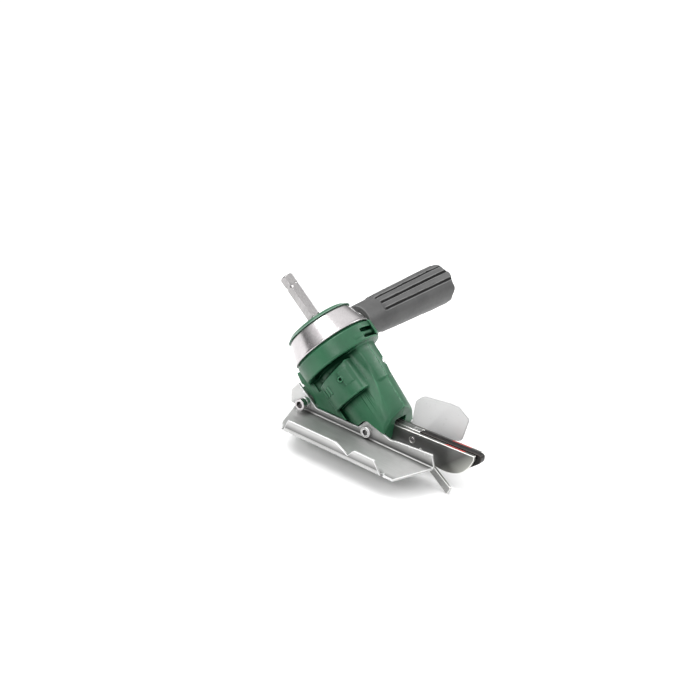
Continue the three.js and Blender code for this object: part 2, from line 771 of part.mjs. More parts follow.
function handle() {
  const steps = 6;
  const side = Array.from({ length: steps + 1 }, (_, i) => {
    const distance = THREE.MathUtils.lerp(HANDLE.root, HANDLE.end - 4, i / steps);
    return new THREE.Vector2(gripRadius(distance), distance);
  });
  const profile = [
    new THREE.Vector2(0, STUD.end + 2),
    new THREE.Vector2(STUD.radius + GAP, STUD.end + 2),
    new THREE.Vector2(STUD.radius + GAP, HANDLE.root),
    ...side,
    new THREE.Vector2(HANDLE.endR - 3, HANDLE.end),
    new THREE.Vector2(0, HANDLE.end),
  ];
  const grip = new THREE.LatheGeometry(profile, HANDLE.flutes * 4);
  const places = grip.getAttribute("position");
  const fluteDepth = 1.3;
  for (let i = 0; i < places.count; i++) {
    const point = new THREE.Vector3().fromBufferAttribute(places, i);
    const radius = Math.hypot(point.x, point.z);
    if (point.y < HANDLE.neck || radius < HANDLE.rootR) continue;
    const wave = Math.cos(HANDLE.flutes * Math.atan2(point.z, point.x));
    const scale = 1 - (fluteDepth * Math.max(0, wave)) / radius;
    places.setXYZ(i, point.x * scale, point.y, point.z * scale);
  }
  node("handle_grip", solidOf(grip.rotateX(Math.PI / 2), handleFrame), materials.grip);
  node("handle_stud", rod(STUD.radius, STUD.start, STUD.end, handleFrame, 24), materials.steel);

  const corners = [
    [-8, -6, 2],
    [8, -6, 2],
    [8, 6, 2],
    [-8, 6, 2],
  ];
  const clearance = turned(
    [
      [0, -30],
      [bandRadius(-30) + GAP, -30],
      [bandRadius(20) + GAP, 20],
      [0, 20],
    ],
    driveFrame,
    64,
  );
  const boss = cut(
    prism(corners, 24, HANDLE.root - 1.6 - 2 * GAP, handleFrame),
    clearance,
    rod(STUD.radius + GAP, 15, 50, handleFrame),
  );
  node("handle_boss", boss, materials.green);
  const washer = ring(
    STUD.radius + GAP,
    9,
    HANDLE.root - 1.6 - GAP,
    HANDLE.root - GAP,
    handleFrame,
    32,
  );
  node("handle_washer", washer, materials.steel);
}

housing();
cap();
band();
driveTrain();
rocker();
blade();
jaw();
guard();
shoe();
shoeFasteners();
finger();
handle();

// The tool's own origin: the middle of its footprint, at its lowest point.
const extent = new THREE.Box3().setFromObject(tool);
const middle = extent.getCenter(new THREE.Vector3());
tool.position.set(-middle.x, -middle.y, -extent.min.z);

export default tool;
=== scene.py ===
import json
import math

import bmesh
import bpy
import numpy as np
from mathutils import Matrix, Vector


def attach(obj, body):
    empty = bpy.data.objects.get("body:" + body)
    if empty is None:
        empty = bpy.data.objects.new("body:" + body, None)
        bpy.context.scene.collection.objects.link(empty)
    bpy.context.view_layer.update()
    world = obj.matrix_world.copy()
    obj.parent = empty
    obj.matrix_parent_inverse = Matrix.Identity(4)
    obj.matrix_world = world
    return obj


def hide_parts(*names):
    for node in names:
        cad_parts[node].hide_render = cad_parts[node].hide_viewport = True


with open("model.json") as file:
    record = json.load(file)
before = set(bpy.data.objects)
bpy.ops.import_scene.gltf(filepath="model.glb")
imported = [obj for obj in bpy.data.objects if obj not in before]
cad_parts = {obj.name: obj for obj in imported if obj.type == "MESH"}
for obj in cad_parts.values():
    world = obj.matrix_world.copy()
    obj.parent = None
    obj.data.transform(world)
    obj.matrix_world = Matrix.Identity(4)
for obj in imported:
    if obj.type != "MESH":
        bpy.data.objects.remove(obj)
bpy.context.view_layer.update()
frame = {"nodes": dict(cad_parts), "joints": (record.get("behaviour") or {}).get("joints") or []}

# Each visible piece is a distance field in millimetres, negative inside the metal. It is meshed
# on a grid, drawn onto the exact surface and shaded with the field's own slope, so every edge
# has a true fillet. X and Z count from the front end of the shoe's fold, Y from the middle plane.
joints = {joint["name"]: joint for joint in frame["joints"]}

# ---- Driving dimensions, in millimetres ----------------------------------------
PIVOT = (-28.0, 6.5)                      # blade pivot, X and Z
DRIVE_PITCH = math.radians(36.5)          # drive axis below horizontal
CHEEK_HALF = 6.0
SLOT_HALF = 3.0
BLADE_HALF = 2.7
BODY_HALF = 15.5
SHEET = 1.8
SOLE = -2.2                               # the foot's underside
WALL_OUTER = BODY_HALF + 2.5
WALL_INNER = WALL_OUTER - SHEET
FOOT_OUTER = 54.0
LIP_HEIGHT = 10.4
LIP_FLARE = math.radians(15)
REAR_BOLT = (-113.5, 6.3)
FRONT_BOLT = (-58.3, 4.6)
BOLT_HOLE_R = 2.8
STUD_HOLE_R = 4.3
HANDLE_TILT = math.radians(9)
HANDLE_ALONG = -6.3

swing_at = np.array(joints["blade_swing"]["pos_m"]) * 1000
DATUM = swing_at - np.array([PIVOT[0], 0.0, PIVOT[1]])
DRIVE_AT = np.array(joints["drive_spin"]["pos_m"]) * 1000 - DATUM
LEFT = np.array([0.0, 1.0, 0.0])
DRIVE = np.array([math.cos(DRIVE_PITCH), 0.0, -math.sin(DRIVE_PITCH)])
RISE = np.array([math.sin(DRIVE_PITCH), 0.0, math.cos(DRIVE_PITCH)])


# ---- Distance fields -------------------------------------------------------------
def both(a, b, r=0.0):
    """What lies in a and in b, with the edge between them rounded to radius r."""
    if r <= 0:
        return np.maximum(a, b)
    corner = np.hypot(np.maximum(a + r, 0), np.maximum(b + r, 0))
    return np.minimum(np.maximum(a, b), -r) + corner


def either(a, b, r=0.0):
    """What lies in a or in b, with a fillet of radius r between them."""
    return -both(-a, -b, r)


def less(a, b, r=0.0):
    """a with b cut away."""
    return both(a, -b, r)


def span(u, low, high):
    """The slab between two values of one coordinate."""
    return np.abs(u - (low + high) / 2) - (high - low) / 2


def rounded(corners, steps=5):
    """An outline's points, its [u, v, setback] corners eased by a curve."""
    points = []
    for i, corner in enumerate(corners):
        here = np.array(corner[:2], float)
        setback = corner[2] if len(corner) > 2 else 0.0
        if not setback:
            points.append(tuple(here))
            continue
        before = np.array(corners[i - 1][:2], float) - here
        after = np.array(corners[(i + 1) % len(corners)][:2], float) - here
        start = here + before * (setback / np.hypot(*before))
        end = here + after * (setback / np.hypot(*after))
        for k in range(steps + 1):
            t = k / steps
            points.append(tuple(start * (1 - t) ** 2 + here * 2 * t * (1 - t) + end * t * t))
    return points


def polygon(u, v, corners):
    """Signed distance to a closed outline."""
    points = rounded(corners)
    shape = np.broadcast(u, v).shape
    nearest = np.full(shape, np.inf)
    inside = np.zeros(shape, bool)
    for (au, av), (bu, bv) in zip(points, points[1:] + points[:1]):
        eu, ev = bu - au, bv - av
        length = eu * eu + ev * ev
        if length < 1e-12:
            continue
        pu, pv = u - au, v - av
        t = np.clip((pu * eu + pv * ev) / length, 0, 1)
        nearest = np.minimum(nearest, (pu - eu * t) ** 2 + (pv - ev * t) ** 2)
        if ev:
            inside ^= ((av > v) != (bv > v)) & (u < eu * pv / ev + au)
    return np.where(inside, -1, 1) * np.sqrt(nearest)


def hexagon(u, v, flats):
    """Distance to a hexagonal bar, flat to flat."""
    turned = [abs(u * math.cos(k) + v * math.sin(k)) for k in (0, math.pi / 3, 2 * math.pi / 3)]
    return np.maximum(np.maximum(turned[0], turned[1]), turned[2]) - flats / 2


def hypot(*parts):
    return np.sqrt(sum(p * p for p in parts))


# ---- Frames ----------------------------------------------------------------------
class Place:
    """A local frame: its origin and its three axes, in model millimetres."""

    def __init__(self, origin, a, b, c):
        self.origin = np.array(origin, float)
        self.axes = np.array([a, b, c], float)

    def out(self, points):
        return points @ self.axes + self.origin


MODEL = Place((0, 0, 0), (1, 0, 0), (0, 1, 0), (0, 0, 1))
DRIVING = Place(DRIVE_AT, LEFT, RISE, DRIVE)        # a left, b up to the ridge, c down the axis
handle_axis = LEFT * math.cos(HANDLE_TILT) + RISE * math.sin(HANDLE_TILT)
handle_side = np.cross(DRIVE, handle_axis)
HOLDING = Place(DRIVE_AT + DRIVE * HANDLE_ALONG, handle_side, DRIVE, handle_axis)


def crosswise(x, z, side):
    """A frame whose c axis points out to the left (side 1) or the right (side -1)."""
    return Place((x, 0, z), (1, 0, 0), (0, 0, -side), (0, side, 0))


def along_above(x, z):
    """A model X and Z as the distance along the drive axis and the height above it."""
    d = np.array([x, 0.0, z]) - DRIVE_AT
    return float(d @ DRIVE), float(d @ RISE)


def x_z(along, above):
    """Model X and Z of a distance along the drive axis and a height above it."""
    x = DRIVE_AT[0] + along * DRIVE[0] + above * RISE[0]
    z = DRIVE_AT[2] + along * DRIVE[2] + above * RISE[2]
    return x, z


# ---- Meshing -----------------------------------------------------------------------
def slope(field, points, reach=0.02):
    """The field's unit gradient at each point."""
    g = np.empty_like(points)
    for axis in range(3):
        step = np.zeros(3)
        step[axis] = reach
        g[:, axis] = field(*(points + step).T) - field(*(points - step).T)
    return g / np.maximum(np.linalg.norm(g, axis=1, keepdims=True), 1e-9)


def settle(field, points, rounds, most):
    """Moves points onto the field's zero level."""
    for _ in range(rounds):
        move = np.clip(field(*points.T), -most, most)
        points = points - slope(field, points) * move[:, None]
    return points


def surface_net(field, low, high, step):
    """Vertices and quads of the field's zero level on a grid."""
    axes = [np.arange(a - 1.5 * step, b + 2.5 * step, step) for a, b in zip(low, high)]
    size = tuple(len(axis) for axis in axes)
    value = np.array(np.broadcast_to(field(*np.ix_(*axes)), size), np.float32)
    inside = value < 0
    held = np.zeros(tuple(n - 1 for n in size), np.int8)
    for i in (0, 1):
        for j in (0, 1):
            for k in (0, 1):
                held += inside[i:size[0] - 1 + i, j:size[1] - 1 + j, k:size[2] - 1 + k]
    cells = np.argwhere((held > 0) & (held < 8))
    index = np.full(held.shape, -1)
    index[tuple(cells.T)] = np.arange(len(cells))

    total = np.zeros((len(cells), 3))
    hits = np.zeros(len(cells))
    for axis in range(3):
        others = [k for k in range(3) if k != axis]
        for i in (0, 1):
            for j in (0, 1):
                start = cells.copy()
                start[:, others[0]] += i
                start[:, others[1]] += j
                end = start.copy()
                end[:, axis] += 1
                p, q = value[tuple(start.T)], value[tuple(end.T)]
                crossed = (p < 0) != (q < 0)
                share = np.where(crossed, p / np.where(crossed, p - q, 1), 0)
                point = start.astype(float)
                point[:, axis] += share
                total[crossed] += point[crossed]
                hits[crossed] += 1
    corner = np.array([axis[0] for axis in axes])
    points = total / hits[:, None] * step + corner

    quads = []
    for axis in range(3):
        b, c = (axis + 1) % 3, (axis + 2) % 3
        near = np.take(inside, range(size[axis] - 1), axis)
        far = np.take(inside, range(1, size[axis]), axis)
        edges = np.argwhere(near != far)
        edges = edges[(edges[:, b] > 0) & (edges[:, c] > 0)]
        edges = edges[(edges[:, b] < size[b] - 1) & (edges[:, c] < size[c] - 1)]
        ring = []
        for i, j in ((-1, -1), (0, -1), (0, 0), (-1, 0)):
            cell = edges.copy()
            cell[:, b] += i
            cell[:, c] += j
            ring.append(index[tuple(cell.T)])
        quad = np.stack(ring, 1)
        leaving = near[tuple(edges.T)]
        quads.append(np.where(leaving[:, None], quad, quad[:, ::-1]))
    return points, np.concatenate(quads)


def to_row(points, place):
    """Local millimetres to the row frame's metres."""
    return (place.out(points) + DATUM) / 1000


def new_object(name, points, faces):
    mesh = bpy.data.meshes.new(name)
    mesh.from_pydata(points.tolist(), [], faces.tolist() if hasattr(faces, "tolist") else faces)
    mesh.validate()
    made = bpy.data.objects.new(name, mesh)
    bpy.context.scene.collection.objects.link(made)
    return made


def thinned(obj, share):
    """The object's mesh with its flat stretches joined up into fewer faces."""
    thinner = obj.modifiers.new("thin", "DECIMATE")
    thinner.ratio = share
    graph = bpy.context.evaluated_depsgraph_get()
    mesh = bpy.data.meshes.new_from_object(obj.evaluated_get(graph))
    obj.modifiers.clear()
    old, obj.data = obj.data, mesh
    bpy.data.meshes.remove(old)
    mesh.name = obj.name
    return obj


EDGE_REACH = 0.5        # how far from an edge the painted edge highlight reaches
# distances at which the field is probed along the normal for the occlusion that drives painted shade in
# hollows
SHELTER_REACH = (2.5, 7.0)


def cast(name, field, low, high, step, place=MODEL, keep=0.4):
    """A piece made from a distance field given in a local frame."""
    points, quads = surface_net(field, low, high, step)
    points = settle(field, points, 3, step * 0.5)
    made = new_object(name, points, quads)
    if keep < 1:
        thinned(made, keep)
    mesh = made.data
    flat = np.empty(len(mesh.vertices) * 3, np.float32)
    mesh.vertices.foreach_get("co", flat)
    local = settle(field, flat.reshape(-1, 3).astype(float), 1, step * 0.3)
    normals = slope(field, local) @ place.axes
    # Two measures for painted light: the field's bulge at convex edges drives painted edge highlights,
    # and how open the field is along the normal drives painted shade in hollows.
    painted_light = sum(
        field(*(local + d * s).T)
        for d in np.eye(3) * EDGE_REACH
        for s in (1, -1)
    ) / EDGE_REACH
    open_air = np.ones(len(local))
    outward = slope(field, local)
    for reach in SHELTER_REACH:
        open_air *= np.clip(field(*(local + outward * reach).T) / reach, 0, 1)
    mesh.vertices.foreach_set("co", to_row(local, place).astype(np.float32).ravel())
    for name, value in (("edge", np.clip(painted_light, -1, 1)), ("open_air", open_air)):
        layer = mesh.attributes.new(name, "FLOAT", "POINT")
        layer.data.foreach_set("value", value.astype(np.float32))
    mesh.polygons.foreach_set("use_smooth", np.ones(len(mesh.polygons), bool))
    mesh.update()
    mesh.normals_split_custom_set_from_vertices(normals.tolist())
    return made


# ---- Materials -------------------------------------------------------------------
class Nodes:
    """A material's node tree, with short calls for the nodes used here."""

    def __init__(self, name):
        self.material = bpy.data.materials.new(name)
        self.material.use_nodes = True
        self.tree = self.material.node_tree
        self.shader = self.tree.nodes["Principled BSDF"]
        self.place = self.add("ShaderNodeTexCoord").outputs["Object"]

    def add(self, kind, **values):
        node = self.tree.nodes.new(kind)
        for key, value in values.items():
            setattr(node, key, value)
        return node

    def link(self, source, target):
        if isinstance(target, str):
            target = self.shader.inputs[target]
        self.tree.links.new(source, target)

    def stretched(self, scale):
        mapping = self.add("ShaderNodeMapping")
        mapping.inputs["Scale"].default_value = scale
        self.link(self.place, mapping.inputs["Vector"])
        return mapping.outputs["Vector"]

    def noise(self, scale, detail=4.0, rough=0.55, vector=None):
        noise = self.add("ShaderNodeTexNoise")
        noise.inputs["Scale"].default_value = scale
        noise.inputs["Detail"].default_value = detail
        noise.inputs["Roughness"].default_value = rough
        self.link(vector or self.place, noise.inputs["Vector"])
        return noise.outputs["Fac"]

    def ramp(self, factor, stops):
        ramp = self.add("ShaderNodeValToRGB")
        while len(ramp.color_ramp.elements) < len(stops):
            ramp.color_ramp.elements.new(0.5)
        for element, (at, colour) in zip(ramp.color_ramp.elements, stops):
            element.position = at
            element.color = (*colour, 1) if hasattr(colour, "__len__") else (colour,) * 3 + (1,)
        self.link(factor, ramp.inputs["Fac"])
        return ramp.outputs["Color"]

    def mix(self, factor, a, b, blend="MIX"):
        mix = self.add("ShaderNodeMix", data_type="RGBA", blend_type=blend)
        for socket, value in ((mix.inputs["Factor"], factor), (mix.inputs[6], a), (mix.inputs[7], b)):
            if isinstance(value, bpy.types.NodeSocket):
                self.link(value, socket)
            elif hasattr(value, "__len__"):
                socket.default_value = (*value, 1)
            else:
                socket.default_value = value
        return mix.outputs[2]

    def bump(self, height, strength, distance, before=None):
        bump = self.add("ShaderNodeBump")
        bump.inputs["Strength"].default_value = strength
        bump.inputs["Distance"].default_value = distance
        self.link(height, bump.inputs["Height"])
        if before:
            self.link(before, bump.inputs["Normal"])
        return bump.outputs["Normal"]

    def painted_hollow_shade(self, colour, deepest):
        """The colour, darkened towards corners and hollows as painted shade, with less specular there as
        well.
        """
        attribute = self.add("ShaderNodeAttribute", attribute_name="open_air")
        shade = self.ramp(attribute.outputs["Fac"], [(0.15, deepest), (0.9, 1.0)])
        gloss = self.ramp(attribute.outputs["Fac"], [(0.2, 0.0), (0.9, 0.45)])
        self.link(gloss, "Specular IOR Level")
        return self.mix(1.0, colour, shade, "MULTIPLY")

    def edge(self, low, high):
        """0 on open faces, rising to 1 along the piece's convex edges."""
        attribute = self.add("ShaderNodeAttribute", attribute_name="edge")
        return self.ramp(attribute.outputs["Fac"], [(low, 0.0), (high, 1.0)])


def linear(code):
    """A hex sRGB colour as linear light."""
    parts = [int(code[i:i + 2], 16) / 255 for i in (0, 2, 4)]
    return [p / 12.92 if p <= 0.04045 else ((p + 0.055) / 1.055) ** 2.4 for p in parts]


def painted(name, main, shade, edge, rough=0.36):
    """Semi-gloss paint over a die casting: a fine orange peel, hollows darkened as painted shade and thin
    edges lightened as a painted highlight.
    """
    n = Nodes(name)
    cloud = n.ramp(n.noise(38, 3), [(0.35, linear(shade)), (0.65, linear(main))])
    speck = n.ramp(n.noise(1500, 2), [(0.42, 0.94), (0.58, 1.0)])
    colour = n.mix(1.0, cloud, speck, "MULTIPLY")
    colour = n.painted_hollow_shade(colour, 0.2)
    n.link(n.mix(n.edge(0.2, 0.9), colour, linear(edge)), "Base Color")
    n.link(n.ramp(n.noise(240, 5), [(0.3, rough - 0.06), (0.7, rough + 0.08)]), "Roughness")
    peel = n.bump(n.noise(700, 3), 0.16, 0.0003)
    n.link(n.bump(n.noise(2600, 2), 0.1, 0.0001, peel), "Normal")
    return n.material


def metal(name, main, shade, rough, grain, edge=None, bump=0.12, metallic=1.0, painted_light=True):
    """Bare metal with a directional grain: fine scratches and mottled gloss, brighter edges as a painted
    highlight and, unless turned off, hollows darkened as painted shade.
    """
    n = Nodes(name)
    lines = n.noise(1.0, 6, 0.7, n.stretched(grain))
    tone = n.ramp(lines, [(0.3, linear(shade)), (0.7, linear(main))])
    cloud = n.ramp(n.noise(60, 3), [(0.3, 0.9), (0.7, 1.0)])
    colour = n.mix(1.0, tone, cloud, "MULTIPLY")
    if painted_light:
        colour = n.painted_hollow_shade(colour, 0.3)
    if edge:
        colour = n.mix(n.edge(0.2, 0.8), colour, linear(edge))
    n.link(colour, "Base Color")
    n.link(n.ramp(lines, [(0.25, rough * 0.8), (0.75, min(1, rough * 1.25))]), "Roughness")
    n.link(n.bump(lines, bump, 0.00015), "Normal")
    n.shader.inputs["Metallic"].default_value = metallic
    return n.material


def moulded(name, main, shade, edge, rough, grain=1700, strength=0.3, painted_light=True):
    """Moulded plastic with a spark-eroded grain; unless turned off, its convex edges take the edge colour
    as painted edge light and its hollows darken as painted shade.
    """
    n = Nodes(name)
    tone = n.ramp(n.noise(55, 3), [(0.3, linear(shade)), (0.7, linear(main))])
    if painted_light:
        tone = n.mix(n.edge(0.2, 0.9), n.painted_hollow_shade(tone, 0.4), linear(edge))
    n.link(tone, "Base Color")
    n.link(n.ramp(n.noise(320, 4), [(0.3, rough - 0.06), (0.7, rough + 0.06)]), "Roughness")
    n.link(n.bump(n.noise(grain, 2), strength, 0.00018), "Normal")
    return n.material


def jaw_metal():
    """Ground tool steel, darker behind near the housing and lighter towards the nose, as painted shade
    and reflection.
    """
    n = Nodes("jaw_steel_look")
    lines = n.noise(1.0, 6, 0.7, n.stretched((60, 2600, 2600)))
    parts = n.add("ShaderNodeSeparateXYZ")
    n.link(n.place, parts.inputs["Vector"])
    run = n.add("ShaderNodeMapRange")
    run.inputs["From Min"].default_value = (DATUM[0] - 30) / 1000
    run.inputs["From Max"].default_value = (DATUM[0] + 16) / 1000
    lean = n.add("ShaderNodeMath", operation="MULTIPLY_ADD")
    lean.inputs[1].default_value = -1.1
    n.link(parts.outputs["Z"], lean.inputs[0])
    n.link(parts.outputs["X"], lean.inputs[2])
    n.link(lean.outputs[0], run.inputs["Value"])
    # painted shade and reflection: darker behind, near the housing, lighter towards the nose
    painted_shade_run = n.ramp(run.outputs["Result"], [
        (0.0, linear("848483")),
        (0.3, linear("666664")),
        (0.7, linear("bcbdb6")),
    ])
    tone = n.mix(1.0, painted_shade_run, n.ramp(lines, [(0.3, 0.86), (0.7, 1.0)]), "MULTIPLY")
    tone = n.painted_hollow_shade(tone, 0.4)
    n.link(n.mix(n.edge(0.2, 0.8), tone, linear("e2e2de")), "Base Color")
    n.link(n.ramp(lines, [(0.25, 0.26), (0.75, 0.42)]), "Roughness")
    n.link(n.bump(lines, 0.1, 0.00012), "Normal")
    n.shader.inputs["Metallic"].default_value = 0.9
    return n.material


# Each edge colour below is mixed into the piece's convex edges as a painted highlight.
GREEN = painted("green_paint_look", "265f40", "205338", "427a5a")
CAP_GREEN = painted("cap_green_look", "37664c", "2f5a43", "708f7e")
POLISHED = metal("polished_steel_look", "ccc8c9", "bbb7b8", 0.22, (900, 900, 140), bump=0.05)
SHANK = metal("shank_steel_look", "b4b2b2", "8d8b8b", 0.2, (1400, 1400, 220), bump=0.06)
SHEET_STEEL = metal("sheet_steel_look", "d2d2d1", "c0c0bf", 0.5, (90, 2200, 2200), edge="e6e6e6")
ZINC = metal("fastener_steel_look", "c4c4c3", "a9a9a9", 0.3, (1500, 1500, 1500), edge="f6f6f6")
JAW = jaw_metal()
STRAP = metal("strap_steel_look", "a7a7a5", "8b8b8a", 0.34, (80, 2400, 2400), edge="dededc")
BLACK = metal("black_steel_look", "100c0b", "080505", 0.3, (90, 1900, 1900), edge="3a3431", metallic=0.4)
GRIP = moulded("grip_plastic_look", "505050", "454545", "727272", 0.5)
# its darker edge colour is a painted dark rim, standing in for light caught in the plastic's edges
GUARD = moulded("guard_plastic_look", "d0d0d0", "cbcbcb", "a9a9a9", 0.32, 900, 0.06)
RED = moulded("mark_paint_look", "e0322c", "c42a25", "e0605a", 0.45, 1400, 0.15, painted_light=False)
RUBBER = moulded("seal_rubber_look", "222222", "1a1a1a", "303030", 0.75, painted_light=False)
BRONZE = metal("bronze_look", "b18a4c", "8d6a36", 0.4, (1200, 1200, 1200), painted_light=False)
INNER_STEEL = metal("inner_steel_look", "b4b4b2", "949492", 0.32, (1500, 1500, 300), painted_light=False)
INNER_BRIGHT = metal("inner_bright_look", "e2e1e0", "cfcecd", 0.16, (1500, 1500, 300), painted_light=False)


# ---- Pieces ------------------------------------------------------------------------
def fit(piece, material, slot, body, *nodes):
    """Gives a piece its material and its body, and hides the CAD nodes it stands for."""
    piece.data.materials.clear()
    piece.data.materials.append(material)
    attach(piece, body)
    if nodes:
        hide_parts(*nodes)
    return piece


CAP = {"radius": 26.8, "top_r": 23.0, "top": -20.0, "base": -17.0}
BAND = {"top_r": 25.2, "base_r": 31.0, "thick": 1.8, "top": -17.0, "base": 0.0}
COLLAR = {"radius": 31.0, "start": 1.3, "end": 15.0}
DRUM = {"radius": 26.3, "end": 43.5, "low": -16.0, "high": 17.0, "far_high": 11.0}
GROOVE_R = 21.0
LOWER_R = 20.6
BEARING_R, SHAFT_ROOM_R, CRANK_ROOM_R = 14.3, 12.0, 19.0
EYE = {"along": 28.4, "radius": 2.3, "face": 27.0, "hole": 1.15, "floor": 25.2}
RIBS = {"above": (-12.2, -8.6, -5.0), "half": 0.75, "along": (26.5, 33.0), "proud": 0.55}
RIDGE = {"half": 8.0, "height": 24.7}
HEEL = [(-106.6, 5), (-111.8, 14.5), (-122.5, 16.2), (-127.9, 22.6)]
SIDE_OUTLINE = [
    (-128.8, 10.6, 1),
    (-123, 17.8, 1),
    (-104.4, 4.4, 1),
    (-66.6, 4.7, 1),
    (-60, 12.9, 3),
    (-38.5, 5.4, 3),
    (-34.5, 6.6, 1),
    (-3.4, 8.8, 1),
]


def band_radius(c):
    share = (c - BAND["top"]) / (BAND["base"] - BAND["top"])
    return BAND["top_r"] + (BAND["base_r"] - BAND["top_r"]) * share


def front_body(side, b, c):
    """The flat-sided body: flanks, ridge and the facets between them."""
    outline = [
        (13, 45),
        (*along_above(-42, 26), 2.5),
        (*along_above(-46.5, 6), 2),
        (*along_above(-50, -3), 3),
        (*along_above(-104, -3), 4),
        *(along_above(x, z) for x, z in HEEL),
    ]
    body = both(polygon(c, b, outline), side - BODY_HALF, 1.6)
    shoulder = 0.833 * (side - RIDGE["half"]) + 0.553 * (b - RIDGE["height"])
    nose = 0.151 * (c - 42) + 0.6 * (side - RIDGE["half"]) + 0.78 * (b - RIDGE["height"])
    top = b - RIDGE["height"] + 0.04 * np.maximum(c - 39, 0)
    return both(both(body, shoulder, 0.7), both(nose, top, 7.0), 0.4)


def housing(a, b, c):
    side = np.abs(a)
    radius = hypot(a, b)
    x, z = x_z(c, b)

    collar = both(radius - COLLAR["radius"], span(c, COLLAR["start"], COLLAR["end"]), 1.6)
    neck = both(radius - band_radius(c) + BAND["thick"] + 0.4, span(c, -16.7, 1.5))
    core = both(radius - GROOVE_R, span(c, 13, 25))

    drum_start = COLLAR["end"] + 0.4 + 7.4 * np.clip((19 - b) / 36, 0, 1) ** 0.35
    drum = both(radius - DRUM["radius"], both(drum_start - c, c - DRUM["end"]), 1.2)
    drum = both(drum, both(DRUM["low"] - b, b - np.where(a > 0, DRUM["far_high"], DRUM["high"])), 1.2)
    pad = both(side * 0.866 + b * 0.5 - DRUM["radius"] - 0.1, span(c, 23.2, 34.5), 0.8)
    pad = both(both(pad, span(b, 9.0, DRUM["high"] - 1.5), 0.8), 18 + a)
    drum = either(drum, pad, 0.8)

    facet = both(side - BODY_HALF - 0.21 * (b + 28), span(b, -37, DRUM["low"] + 1.0), 0.8)
    facet = both(facet, span(c, 12, 58))
    groove = both(span(c, COLLAR["end"], 23.5), span(b, -22.0, 40), 1.0)
    groove = both(groove, BODY_HALF - side)
    facet = less(facet, groove, 0.8)

    lower = both(radius - LOWER_R, span(c, 40, 82))
    lower = both(lower, x + 44, 2.0)
    body = front_body(side, b, c)
    flare = np.clip((21 - c) / 10, 0, 1)
    barrel = radius - 26.4 - 4.6 * flare * flare + 1.9 * np.clip((c - 27) / 15, 0, 1) ** 2
    barrel = both(barrel, span(c, 9, 44), 1.5)
    barrel = both(both(barrel, side - 10.5 + 0.09 * (c - 19), 1.6), 12 - b)

    shape = either(either(collar, neck), core, 0.8)
    shape = either(shape, either(body, lower, 2.5), 1.4)
    shape = either(shape, facet, 0.6)
    shape = either(shape, drum, 0.8)
    shape = either(shape, barrel, 1.8)

    # A cast eye under the handle: a pocket in the collar with a round lug lying in it.
    reach = a * math.cos(HANDLE_TILT) + b * math.sin(HANDLE_TILT)
    pocket = both(span(c, 5.6, 13.4), span(a, -3.4, 17), 1.0)
    pocket = both(pocket, 27.4 - radius, 0.6)
    shape = less(shape, pocket, 0.5)
    lug = both(hypot(c - 9.3, b - 27.6 + 0.16 * a) - 2.0, span(reach, 0, 22), 0.8)
    ear = both(span(c, 1.0, 13.0), span(a, 12.5, 21.5), 1.4)
    ear = both(ear, radius - 32.4, 1.4)
    ear = both(ear, 12 - b)
    shape = either(either(shape, lug, 0.5), ear, 0.7)

    # The shoe's walls lie on the flanks, so what stands proud stops short of them.
    plate_top = [*SIDE_OUTLINE, (0, 0), (0, -60), (-135, -60)]
    shape = less(shape, both(polygon(x, z, plate_top) - 0.7, BODY_HALF - 0.1 - side), 0.4)

    # A small sight plug on the drum and three plain ribs beside it.
    reach_out = side * 0.952 + b * 0.305
    across = b * 0.952 - side * 0.305
    eye = hypot(across, c - EYE["along"])
    boss = both(both(eye - EYE["radius"], reach_out - EYE["face"], 0.4), 20 - reach_out)
    shape = either(shape, both(boss, a), 0.25)
    shape = less(shape, both(both(eye - EYE["hole"], EYE["floor"] - reach_out), a), 0.25)
    for at in RIBS["above"]:
        rib = both(span(b, at - RIBS["half"], at + RIBS["half"]), span(c, *RIBS["along"]), 0.7)
        rib = both(both(rib, radius - DRUM["radius"] - RIBS["proud"], 0.35), 12 - side)
        shape = either(shape, rib, 0.3)

    # Inside: the bearing seats, the crank chamber and the blade's room.
    bore = both(radius - BEARING_R, span(c, -22, CAP["base"] + 12.3))
    bore = either(bore, both(radius - SHAFT_ROOM_R, span(c, -22, 44)))
    bore = either(bore, both(radius - BEARING_R, span(c, 8.2, 17.5)))
    bore = either(bore, both(radius - CRANK_ROOM_R, span(c, 17, 44)))
    room = [
        (-90, 17),
        (-81, -1),
        (-30, -4),
        (-30, 16.3),
        (-58, 16.3),
        (-60, 36),
        (-66, 41),
        (-72, 40),
    ]
    chamber = either(bore, both(polygon(x, z, room), side - 6.6))
    shape = less(shape, chamber, 0.3)
    stud = hypot(a * math.cos(math.pi / 2 - HANDLE_TILT) - b * math.sin(math.pi / 2 - HANDLE_TILT),
                 c - HANDLE_ALONG)
    return less(shape, both(stud - STUD_HOLE_R, 15 - reach))


SCREW_SPOTS = [(-49, 20, 9.3), (-71, 47, 5.0), (-96, 2, 9.3)]      # X, Z and the head's seat


def housing_left(a, b, c):
    shape = both(housing(a, b, c), 0.06 - a, 0.25)
    x, z = x_z(c, b)
    for sx, sz, seat in SCREW_SPOTS:
        from_screw = hypot(x - sx, z - sz)
        shape = less(shape, both(from_screw - 3.6, seat - 0.1 - a), 0.3)
        shape = less(shape, from_screw - 1.9)
    return shape


def housing_right(a, b, c):
    return both(housing(a, b, c), a + 0.06, 0.25)


def make_housing():
    low, high = (-32.0, -40.0, -17.0), (0.2, 33.5, 84.0)
    right = cast("housing_shell_right", housing_right, low, high, 0.55, DRIVING, 0.5)
    fit(right, GREEN, "green_paint", "root", "housing_right")
    low, high = (-0.2, -40.0, -17.0), (33.5, 33.5, 84.0)
    left = cast("housing_shell_left", housing_left, low, high, 0.6, DRIVING, 0.45)
    fit(left, GREEN, "green_paint", "root", "housing_left")


CAP_SCREWS, CAP_SCREWS_R = 3, 19.0


